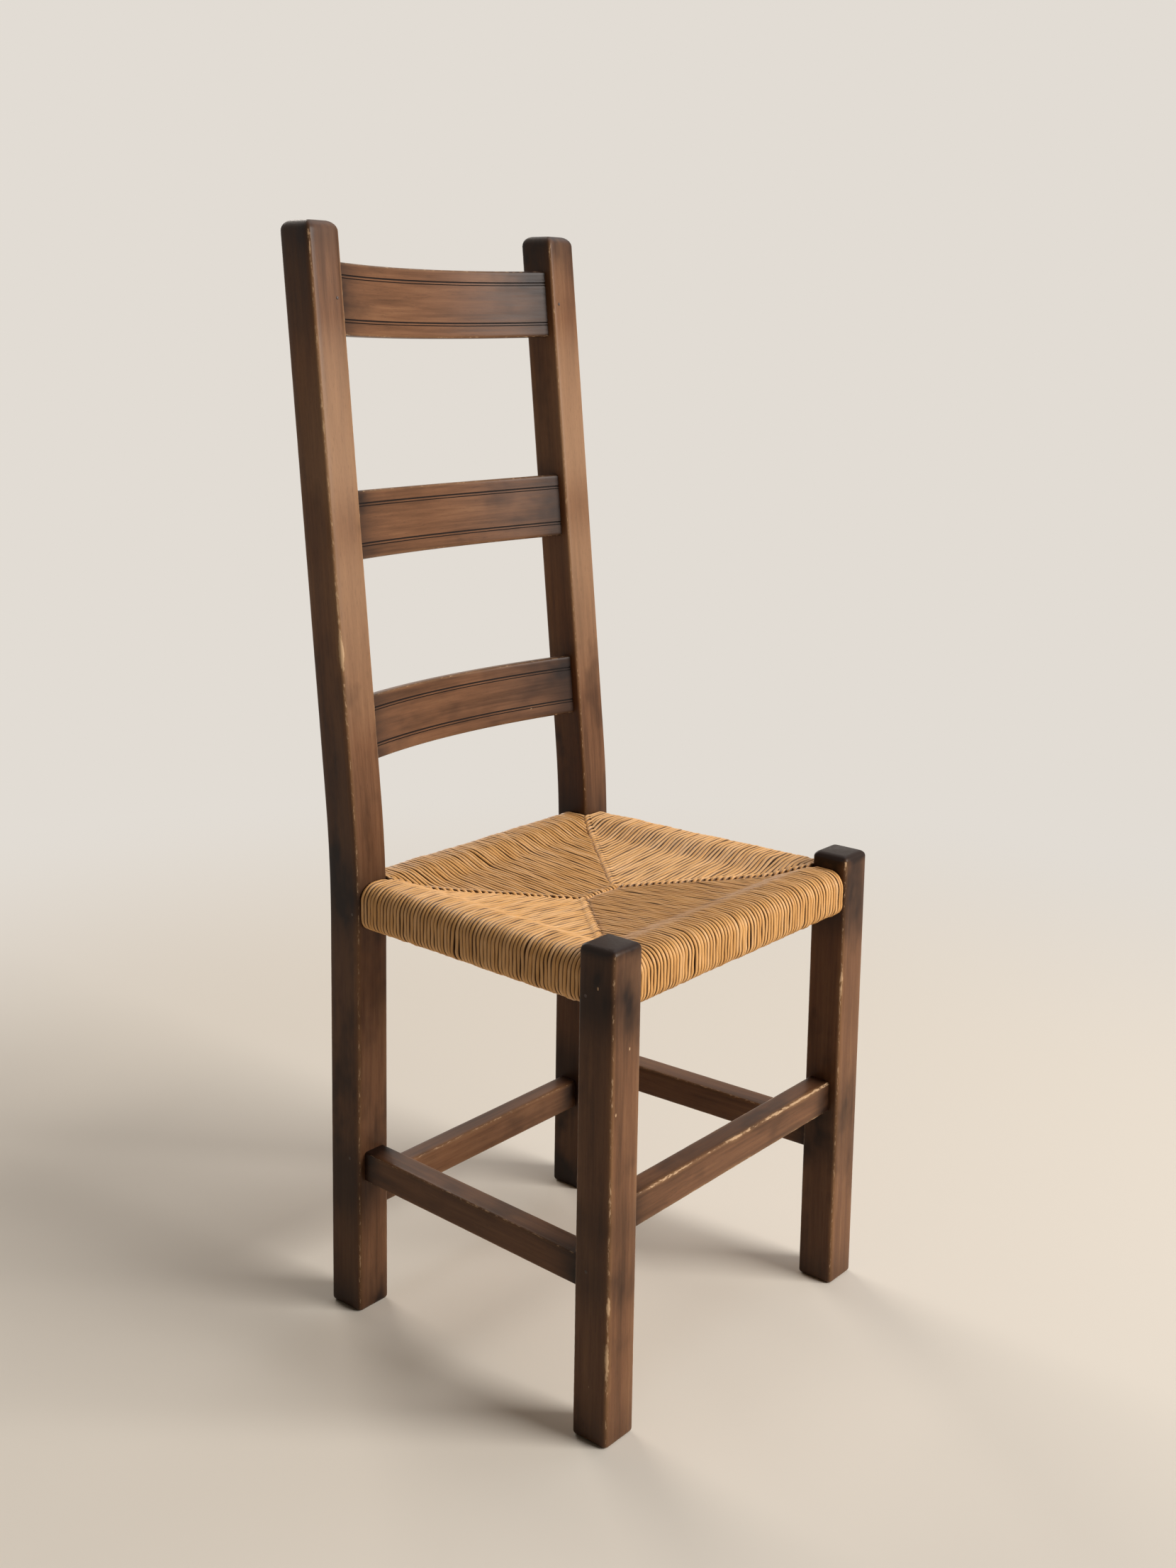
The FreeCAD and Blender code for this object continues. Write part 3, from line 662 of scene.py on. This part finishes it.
# Back slats
class CHAIR_OT_slats(bpy.types.Operator):
    """Models the three bowed slats, each with two pairs of grooves along its front"""
    bl_idname = "chair.slats"
    bl_label = "Back slats"

    def execute(self, context):
        wood = stained_walnut("walnut_stained_slats", context.scene.chair_colours, 0.06)
        dirt = gathered_stain("stain_gathered_in_grooves", context.scene.chair_colours)
        for number, name in enumerate(("top", "middle", "bottom")):
            piece = self.model_slat(context, name, number + 10)
            finish_piece(piece, wood, "back_slat_" + name)
            piece.data.materials.append(dirt)
        return {"FINISHED"}

    def model_slat(self, context, name, number):
        sizes = context.scene.chair_slats
        rake = context.scene.chair_posts.rake
        bars = context.scene.chair_stretchers
        low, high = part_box("back_slat_" + name)
        height = getattr(sizes, name + "_height")
        half_chord = abs(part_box("rear_post_right")[1].x)
        radius = (half_chord ** 2 + sizes.bow ** 2) / (2 * sizes.bow)
        half_span = radius * math.asin(half_chord / radius)
        piece = start_box("worn_slat_" + name, Vector((-half_span, 0, 0)),
                          Vector((half_span, sizes.thickness, height)))
        add_tenons((-half_span, half_span), (sizes.thickness / 2, height / 2), (sizes.thickness, height),
                   (sizes.tenon_side, bars.shoulder), bars.slat_tenon)
        round_edges(LYING, sizes.edge_radius, half_span / 2)
        self.cut_grooves(sizes, height)
        divide_bar(LYING, 8 * MM, 5)
        span = half_span / MM
        stains = [(-span, 30, 0.7), (span, 34, 0.8), (span * 0.6, 40, 0.15)]
        mark_wood(piece, points_of(piece), (-OPEN_END, 0, 0), (OPEN_END, sizes.thickness, height),
                  sizes.edge_radius, LYING, number, stains, painted_side_shade=0.1)
        bow = piece.modifiers.new("bow", "SIMPLE_DEFORM")
        bow.deform_method = "BEND"
        bow.deform_axis = "Z"
        bow.angle = -2 * (half_span + bars.slat_tenon) / radius
        apply_modifier(piece, bow)
        piece.rotation_euler = (-rake, 0, 0)
        bpy.ops.object.transform_apply()
        places = points_of(piece)
        piece.location = (0, high.y - places[:, 1].max(), low.z - places[:, 2].min())
        bpy.ops.object.transform_apply()
        return piece

    def cut_grooves(self, sizes, height):
        """Cuts two pairs of grooves along the front, the upper one of each pair the bolder."""
        near, far = sizes.groove_near, sizes.groove_far
        pairs = ((near, far), (height - far, height - near))
        for centres in pairs:
            for centre, width in zip(centres, (sizes.lower_width, sizes.upper_width)):
                for level in (centre - width / 2, centre + width / 2):
                    bpy.ops.mesh.select_all(action="SELECT")
                    bpy.ops.mesh.bisect(plane_co=(0, 0, level), plane_no=(0, 0, 1))
                pick("FACE", lambda face: face.normal.y < -0.9 and abs(face.calc_center_median().x) < MM
                     and abs(face.calc_center_median().z - centre) < width * 0.4)
                extrude((0, sizes.groove_depth, 0))
        centres = [centre for pair in pairs for centre in pair]
        pick("FACE", lambda face: MM / 10 < face.calc_center_median().y < sizes.groove_depth + MM / 10
             and abs(face.calc_center_median().x) < MM
             and min(abs(face.calc_center_median().z - centre) for centre in centres) < sizes.upper_width)
        mesh = bmesh.from_edit_mesh(bpy.context.object.data)
        for face in mesh.faces:
            face.material_index = 1 if face.select else 0


# Rush seat
# How a strand ends at a seam: (beyond the seam, above the seat, share of the width) in millimetres.
TOOTH = [(-4.0, 0.8, 1.0), (-1.0, 1.5, 1.0), (1.6, 1.4, 1.0), (3.5, 0.4, 0.92), (4.6, -1.5, 0.8),
         (4.9, -3.6, 0.6)]
TUCK = [(-5.0, -0.5, 1.0), (-1.5, -1.9, 1.0), (2.5, -3.8, 0.9), (5.5, -6.0, 0.7)]
# How far the seat's profile runs on past the ridge, and the distance between its points.
PAST_RIDGE = 10 * MM
POINT_SPACING = 4.5 * MM
SECTION_CORNERS = 10


# A field of strands: its rail's outer line from start to end, the way in, the shares of the rail
# where the seams meet the ridge, its reach there, the first and last strand's share, and how
# strands end along the first seam, the ridge and the last seam.
RushField = namedtuple("RushField", "name start end inward knots reach ends setback styles")


def rush_fields(sizes):
    posts = bpy.context.scene.chair_posts
    front_x, rear_x = abs(FRONT_CORNER.x), abs(REAR_CORNER.x)
    front_y, rear_y = FRONT_CORNER.y, REAR_CORNER.y + posts.post_depth
    half_ridge = sizes.ridge / 2
    clear = sizes.width / 2 + 0.1 * MM
    fields = []
    for name, x, y, inward, setback, styles in (
            ("front", front_x, front_y, 1, sizes.front_setback, (TUCK, TUCK, TUCK)),
            ("rear", -rear_x, rear_y, -1, sizes.setback, (TUCK, TOOTH, TOOTH))):
        rail = 2 * abs(x)
        knots = [0.0, (abs(x) - half_ridge) / rail, (abs(x) + half_ridge) / rail, 1.0]
        gap = (posts.side + clear) / rail
        fields.append(RushField(name, Vector((-x, y, 0)), Vector((x, y, 0)), Vector((0, inward, 0)), knots,
                                (front_y + rear_y) / 2 - front_y, (gap, 1 - gap), setback, styles))
    leg, post = ((side + clear) / (rear_y - front_y) for side in (posts.side, posts.post_depth))
    for name, start, end, inward, ends, styles in (
            ("right", (-rear_x, rear_y, 0), (-front_x, front_y, 0), 1, (post, 1 - leg), (TUCK, TUCK, TOOTH)),
            ("left", (front_x, front_y, 0), (rear_x, rear_y, 0), -1, (leg, 1 - post), (TOOTH, TOOTH, TOOTH))):
        fields.append(RushField(name, Vector(start), Vector(end), Vector((inward, 0, 0)),
                                [0.0, 0.5, 0.5, 1.0], (front_x + rear_x) / 2 - half_ridge, ends,
                                sizes.setback, styles))
    return fields


def rounded_line(corners):
    """Points of a line through corners (x, y, radius), with an arc at each inner corner."""
    points = [Vector(corners[0][:2])]
    for before, here, after in zip(corners, corners[1:], corners[2:]):
        corner = Vector(here[:2])
        back = (Vector(before[:2]) - corner).normalized()
        ahead = (Vector(after[:2]) - corner).normalized()
        half_angle = back.angle(ahead) / 2
        bisector = (back + ahead).normalized()
        centre = corner + bisector * (here[2] / math.sin(half_angle))
        start = corner + back * (here[2] / math.tan(half_angle)) - centre
        turn = back.angle_signed(-ahead)
        steps = max(3, round(abs(math.degrees(turn)) / 11))
        for step in range(steps + 1):
            points.append(centre + Matrix.Rotation(-turn * step / steps, 2) @ start)
    points.append(Vector(corners[-1][:2]))
    return points


def seat_profile(sizes, setback, reach):
    """Middle line of a strand as (distance from the outer line, height), from the ridge over the rail.

    Each corner has its radius. Those of the outer edge are the seat's own, less half a strand.
    """
    half = sizes.height / 2
    shoulder = setback + sizes.crown_width
    outer = setback + half
    top = sizes.crown - half
    bottom = sizes.underside + half
    return rounded_line([
        (reach + PAST_RIDGE, sizes.crown - sizes.ridge_drop - half, 0),
        (shoulder + sizes.shoulder_width, top - sizes.shoulder_drop, 32 * MM),
        (shoulder, top, 34 * MM),
        (outer, top, 17 * MM - half),
        (outer, bottom, 13 * MM - half),
        (shoulder, bottom, 28 * MM),
        (reach + PAST_RIDGE, bottom + sizes.ridge_rise, 0),
    ])


def spaced(points, spacing):
    """Fills the long runs of a line with more points."""
    filled = [points[0]]
    for before, after in zip(points, points[1:]):
        parts = max(1, round((after - before).length / spacing))
        filled += [before.lerp(after, part / parts) for part in range(1, parts + 1)]
    return filled


def strand_line(profile, field, share):
    """A strand's own part of the profile, with its ends drawn down at the seam: (x, z, width)."""
    reach = float(np.interp(share, field.knots, [0.0, field.reach, field.reach, 0.0]))
    style = field.styles[(share >= field.knots[1]) + (share >= max(field.knots[1:-1]))]
    lowest = min(range(len(profile)), key=lambda index: profile[index].x)
    lower = profile[lowest:]
    height_at = [np.interp(reach, [p.x for p in run], [p.y for p in run])
                 for run in (profile[:lowest][::-1], lower)]
    top_end = reach + style[0][0] * MM
    # The ends and the rest of the line are kept a little apart, so that no two points coincide.
    line = [(reach + x * MM, height_at[0] + z * MM, width) for x, z, width in style][::-1]
    line += [(p.x, p.y, 1.0) for p in profile[:lowest] if p.x < top_end - 1.5 * MM]
    line += [(p.x, p.y, 1.0) for p in lower if p.x < reach - 5.5 * MM]
    line += [(reach + x * MM, height_at[1] - z * MM, width) for x, z, width in TUCK]
    return line


def wander(first, second, seed):
    return noise.noise(Vector((first, second, seed)))


def lay_strand(field, sizes, line, share, number, splits):
    """Points, widths and twist of one strand: it wanders with its neighbours and a little on its own.

    Amounts and wavelengths are in millimetres.
    """
    rail = (field.end - field.start).length
    base = field.start + (field.end - field.start) * share
    place = share * rail / MM
    along = (field.end - field.start).normalized()
    seed = number * 3.7 + len(field.name) * 50
    steps = [0.0] + [math.dist(after[:2], before[:2]) / MM for before, after in zip(line, line[1:])]
    travelled = np.cumsum(steps)
    bend = travelled[min(range(len(line)), key=lambda index: line[index][0])]
    places = []
    for index, (inwards, height, width) in enumerate(line):
        before = line[max(index - 1, 0)]
        after = line[min(index + 1, len(line) - 1)]
        run = Vector((after[0] - before[0], after[1] - before[1])).normalized()
        outward = Vector((run.y, -run.x))
        # The first steps run straight, so that every strand starts with its flat side up.
        gone = travelled[max(index, 3)] - bend
        sideways = sizes.wave / MM * wander(place / 30, gone / 34, len(field.name))
        sideways += 0.45 * wander(gone / 18, 0, seed)
        for middle, centre, reach, gap in splits:
            apart = (place - middle) / sizes.pitch * MM
            fade = math.exp(-abs(apart) / 2.5 - ((gone - centre) / reach) ** 2)
            sideways += gap * math.tanh(2 * apart) * fade
        proud = 0.45 * wander(gone / 24, 0, seed + 90) + 0.7 * wander(place / 11, gone / 60, 7.3)
        proud += 0.6 * wander(place / 17, 0, 31.7) * math.exp(-(((gone - 42) / 16) ** 2))
        swell = width * (1.0 + 0.16 * wander(gone / 13, 0, seed + 40))
        point = base + field.inward * (inwards - outward.x * proud * MM) + along * sideways * MM
        point.z = height - outward.y * proud * MM
        places.append((point, swell, 0.4 * wander(gone / 30, 0, seed + 20)))
    return places, travelled[-1]


# Splits between strands that the photograph shows: place along the rail, middle and half length
# along the strands from the outer face, and how far the strands part, all in millimetres.
SPLITS = {"front": [(120.6, 4, 30, 1.5)]}


def add_curve(name, dimensions, points):
    """Adds a curve of straight runs through points, and returns its object and its one spline."""
    curve = bpy.data.curves.new(name, "CURVE")
    curve.dimensions = dimensions
    spline = curve.splines.new("POLY")
    spline.points.add(len(points) - 1)
    for target, point in zip(spline.points, points):
        target.co = (*point, 1.0)
    line = bpy.data.objects.new(name, curve)
    bpy.context.scene.collection.objects.link(line)
    return line, spline


def model_field(field, sizes, section, chance):
    rail = (field.end - field.start).length
    first, last = field.ends
    count = round((last - first) * rail / sizes.pitch) + 1
    profile = spaced(seat_profile(sizes, field.setback, field.reach), POINT_SPACING)
    splits = SPLITS.get(field.name, []) + [
        (chance.uniform(first, last) * rail / MM, chance.uniform(-90, 45), chance.uniform(8, 22),
         chance.uniform(0.5, 1.2)) for part in range(count // 4)]
    strands, marks = [], []
    for number in range(count):
        share = first + (last - first) * number / (count - 1)
        line = strand_line(profile, field, share)
        places, run = lay_strand(field, sizes, line, share, number, splits)
        strand, spline = add_curve("strand", "3D", [point for point, swell, tilt in places])
        for target, (point, swell, tilt) in zip(spline.points, places):
            target.radius = swell
            target.tilt = tilt
        strand.data.bevel_mode = "OBJECT"
        strand.data.bevel_object = section
        strand.data.use_fill_caps = True
        strand.data.twist_mode = "MINIMUM"
        strands.append(strand)
        marks.append((chance.random(), run, 0.0))
    select_only(*strands)
    bpy.ops.object.convert(target="MESH")
    for strand, mark in zip(strands, marks):
        write_attribute(strand, "strand", np.tile(mark, (len(strand.data.vertices), 1)))
    bpy.ops.object.join()
    piece = bpy.context.object
    piece.name = "rush_" + field.name
    bpy.ops.object.mode_set(mode="EDIT")
    close_edit()
    return piece


class CHAIR_OT_rush(bpy.types.Operator):
    """Winds the rush seat strand by strand in four fields that meet at mitred seams"""
    bl_idname = "chair.rush"
    bl_label = "Rush seat"

    def execute(self, context):
        sizes = context.scene.chair_rush
        angles = [-2 * math.pi * index / SECTION_CORNERS for index in range(SECTION_CORNERS)]
        section, ring = add_curve("strand_section", "2D", [
            (sizes.width / 2 * math.cos(angle), sizes.height / 2 * math.sin(angle), 0) for angle in angles])
        ring.use_cyclic_u = True
        chance = random.Random(11)
        # Each field's tone is partly the rush's own and partly painted light and shade: the front and rear
        # fields browner, the side fields paler.
        field_tones_and_shade = {"front": (0.84, 0.14), "rear": (0.8, 0.14), "left": (0.78, 0.06), "right": (0.78, 0.06)}
        for field in rush_fields(sizes):
            piece = model_field(field, sizes, section, chance)
            material = twisted_rush("bulrush_cord_" + field.name, context.scene.chair_colours,
                                    *field_tones_and_shade[field.name])
            finish_piece(piece, material, "rush_seat", math.pi)
        bpy.data.objects.remove(section)
        return {"FINISHED"}


# Pegs and hidden pieces
PEG_RADIUS = 1.7 * MM
PEG_PROUD = 0.3 * MM
PEG_ROUNDING = 0.5 * MM


class CHAIR_OT_pegs(bpy.types.Operator):
    """Models the pegs in the joints: turned dowel ends with softly rounded heads just proud"""
    bl_idname = "chair.pegs"
    bl_label = "Pegs"

    def execute(self, context):
        wood = plain_grained("dark_oak_dowel", "#4a2f1e", "#1d120b", (900, 900, 900), 0.5)
        rake = context.scene.chair_posts.rake
        for name in ("stretcher_pins", "rail_pins", "slat_pins"):
            pegs = []
            for centre, extent in self.separate_pins(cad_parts[name].data):
                inward = Vector((-math.copysign(1, centre.x), 0, 0))
                run = max(extent)
                if name == "slat_pins":
                    inward = Vector((0, math.cos(rake), -math.sin(rake)))
                    run = extent[1] / math.cos(rake)
                bpy.ops.object.select_all(action="DESELECT")
                bpy.ops.mesh.primitive_cylinder_add(
                    vertices=16, radius=PEG_RADIUS, depth=run, location=centre - inward * PEG_PROUD,
                    rotation=inward.to_track_quat("Z", "Y").to_euler())
                pegs.append(context.object)
                bpy.ops.object.mode_set(mode="EDIT")
                pick("FACE", lambda face: len(face.verts) > 4)
                bpy.ops.mesh.bevel(offset=PEG_ROUNDING, segments=3)
                close_edit()
                bpy.ops.object.transform_apply()
            select_only(*pegs)
            bpy.ops.object.join()
            piece = context.object
            piece.name = "pegs_" + name.split("_")[0]
            finish_piece(piece, wood, name)
        return {"FINISHED"}

    def separate_pins(self, mesh):
        """Centre and size of each pin in a group, told apart by the quarter of the chair it is in."""
        quarters = {}
        middle = (FRONT_CORNER.y + REAR_CORNER.y) / 2
        for vertex in mesh.vertices:
            quarters.setdefault((vertex.co.x > 0, vertex.co.y > middle), []).append(vertex.co)
        for points in quarters.values():
            low = Vector([min(point[axis] for point in points) for axis in range(3)])
            high = Vector([max(point[axis] for point in points) for axis in range(3)])
            yield (low + high) / 2, high - low


class CHAIR_OT_hidden(bpy.types.Operator):
    """Gives the seat rails and the packing inside the seat their materials"""
    bl_idname = "chair.hidden"
    bl_label = "Rails and packing"

    def execute(self, context):
        # Sawn beech, never stained because the rush covers it.
        rail = plain_grained("sawn_beech_rail", "#a98257", "#7c5934", (40, 40, 900), 0.7)
        # Short broken rush pushed in between the layers: dull, dusty and dark between its stalks.
        packing = plain_grained("broken_rush_packing", "#5d4322", "#2c1c0c", (160, 160, 300), 0.85)
        for name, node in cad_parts.items():
            for start, material in (("seat_rail_", rail), ("packing_", packing)):
                if name.startswith(start):
                    if not node.material_slots:
                        node.data.materials.append(material)
                    for slot in node.material_slots:
                        slot.link = "OBJECT"
                        slot.material = material
        return {"FINISHED"}


# Stage
CAMERA_FROM_FRONT = Vector((-1.36367, -0.9127, 0.99551))
CAMERA_HEADING = math.radians(-50.353)
CAMERA_PITCH = math.radians(-8.937)
CAMERA_ROLL = 0.01486
SENSOR = 36.0
IMAGE_HEIGHT = 2212
FOCAL_PIXELS = 2534.56
PRINCIPAL_OFFSET = (-12.04, 247.97)


def add_lamp(name, place, aim, size, power, tint):
    """Adds a soft lamp at a place, turned to a height above the origin."""
    turn = (Vector((0, 0, aim)) - Vector(place)).to_track_quat("-Z", "Y").to_euler()
    bpy.ops.object.light_add(type="AREA", location=place, rotation=turn)
    lamp = bpy.context.object
    lamp.name = name
    lamp.data.shape = "RECTANGLE"
    lamp.data.size, lamp.data.size_y = size
    lamp.data.energy = power
    lamp.data.color = linear(tint)


def add_floor(colours):
    """A wide pale floor that fades into the background with no horizon, and is clear from beneath."""
    bpy.ops.object.select_all(action="DESELECT")
    bpy.ops.mesh.primitive_circle_add(vertices=96, radius=9.0, fill_type="NGON", location=(0, 0, 0))
    floor = bpy.context.object
    floor.name = "studio_floor"
    bpy.ops.object.mode_set(mode="EDIT")
    for ring in range(2):
        bpy.ops.mesh.inset(thickness=2.5)
    bpy.ops.object.mode_set(mode="OBJECT")
    material, add = new_material("pale_matt_floor")
    place = add("TexCoord").outputs["Object"]
    away = add("VectorMath", (place,), operation="LENGTH").outputs["Value"]
    fade = add("MapRange", (away, 0.75, 2.0), interpolation_type="SMOOTHSTEP")
    hidden = add("Math", (fade, seen_rays(add)), operation="MULTIPLY")
    # Painted boards, rolled: a faint mottle some 5 mm across.
    mottle = add("TexNoise", {"Vector": place, "Scale": 200.0, "Detail": 3.0})
    relief = add("Bump", {"Strength": 0.05, "Distance": 0.0005, "Height": mottle})
    matt = add("BsdfDiffuse", {"Color": rgba(colours.floor), "Normal": relief})
    glow = add("Emission", (rgba(colours.background), 1.0))
    both = add("MixShader", (hidden, matt, glow))
    beneath = add("NewGeometry").outputs["Backfacing"]
    shown = add("MixShader", (beneath, both, add("BsdfTransparent")))
    add("OutputMaterial", (shown,))
    floor.data.materials.append(material)


def seen_rays(add):
    """1 where the ray comes from the camera, a mirror or glass, which show the plain background."""
    ray = add("LightPath").outputs
    seen = ray["Is Camera Ray"]
    for kind in ("Is Glossy Ray", "Is Transmission Ray"):
        seen = add("Math", (seen, ray[kind]), operation="MAXIMUM")
    return seen


def set_world(colours, strength):
    world = bpy.data.worlds.new("studio_air")
    bpy.context.scene.world = world
    world.use_nodes = True
    world.node_tree.nodes.clear()
    add = partial(add_node, world.node_tree)
    air = add("Background", (rgba(linear("#ffe9cc")), strength))
    shown = add("Background", (rgba(colours.background), 1.0))
    both = add("MixShader", (seen_rays(add), air, shown))
    add("OutputWorld", (both,))


class CHAIR_OT_stage(bpy.types.Operator):
    """Sets the floor, the soft window light from the right and the camera at the photograph's angle"""
    bl_idname = "chair.stage"
    bl_label = "Floor, light and camera"

    def execute(self, context):
        scene = context.scene
        stage = scene.chair_stage
        add_floor(scene.chair_colours)
        set_world(scene.chair_colours, stage.fill)
        for lamp in (("window", (1.7, -4.9, 3.0), 0.5, (3.0, 3.2), stage.key, "#fffcf8"),
                     ("ceiling", (1.0, -0.2, 2.9), 0.3, (2.4, 2.4), stage.ceiling, "#f6f8ff"),
                     ("back_light", (1.5, 4.6, 2.6), 0.5, (3.0, 2.6), stage.back, "#fff8f0")):
            add_lamp(*lamp)
        turn = (Matrix.Rotation(CAMERA_HEADING, 3, "Z") @ Matrix.Rotation(math.pi / 2 + CAMERA_PITCH, 3, "X")
                @ Matrix.Rotation(CAMERA_ROLL, 3, "Z"))
        place = Vector((0, FRONT_CORNER.y, 0)) + CAMERA_FROM_FRONT
        bpy.ops.object.camera_add(location=place, rotation=turn.to_euler())
        camera = context.object
        scene.camera = camera
        camera.data.sensor_width = SENSOR
        camera.data.lens = SENSOR * FOCAL_PIXELS / IMAGE_HEIGHT
        camera.data.shift_x = -PRINCIPAL_OFFSET[0] / IMAGE_HEIGHT
        camera.data.shift_y = -PRINCIPAL_OFFSET[1] / IMAGE_HEIGHT
        scene.view_settings.view_transform = "Standard"
        return {"FINISHED"}


class CHAIR_PT_panel(bpy.types.Panel):
    """Lists the chair's groups of pieces"""
    bl_idname = "CHAIR_PT_panel"
    bl_label = "Ladderback chair"
    bl_space_type = "VIEW_3D"
    bl_region_type = "UI"
    bl_category = "Chair"

    def draw(self, context):
        for operator in OPERATORS:
            self.layout.operator(operator.bl_idname)
        for name, group in GROUPS.items():
            box = self.layout.box()
            for setting in group.__annotations__:
                box.prop(getattr(context.scene, name), setting)


GROUPS = {
    "chair_posts": ChairPosts,
    "chair_slats": ChairSlats,
    "chair_stretchers": ChairStretchers,
    "chair_rush": ChairRush,
    "chair_colours": ChairColours,
    "chair_stage": ChairStage,
}
OPERATORS = [CHAIR_OT_stage, CHAIR_OT_posts, CHAIR_OT_stretchers, CHAIR_OT_slats, CHAIR_OT_rush,
             CHAIR_OT_pegs, CHAIR_OT_hidden]


def register():
    for item in [*GROUPS.values(), *OPERATORS, CHAIR_PT_panel]:
        bpy.utils.register_class(item)
    for name, group in GROUPS.items():
        setattr(bpy.types.Scene, name, bpy.props.PointerProperty(type=group))


def unregister():
    for name in GROUPS:
        delattr(bpy.types.Scene, name)
    for item in [CHAIR_PT_panel, *OPERATORS[::-1], *list(GROUPS.values())[::-1]]:
        bpy.utils.unregister_class(item)


def main():
    register()
    bpy.ops.chair.stage()
    bpy.ops.chair.posts()
    bpy.ops.chair.stretchers()
    bpy.ops.chair.slats()
    bpy.ops.chair.rush()
    bpy.ops.chair.pegs()
    bpy.ops.chair.hidden()


if __name__ == "__main__":
    main()
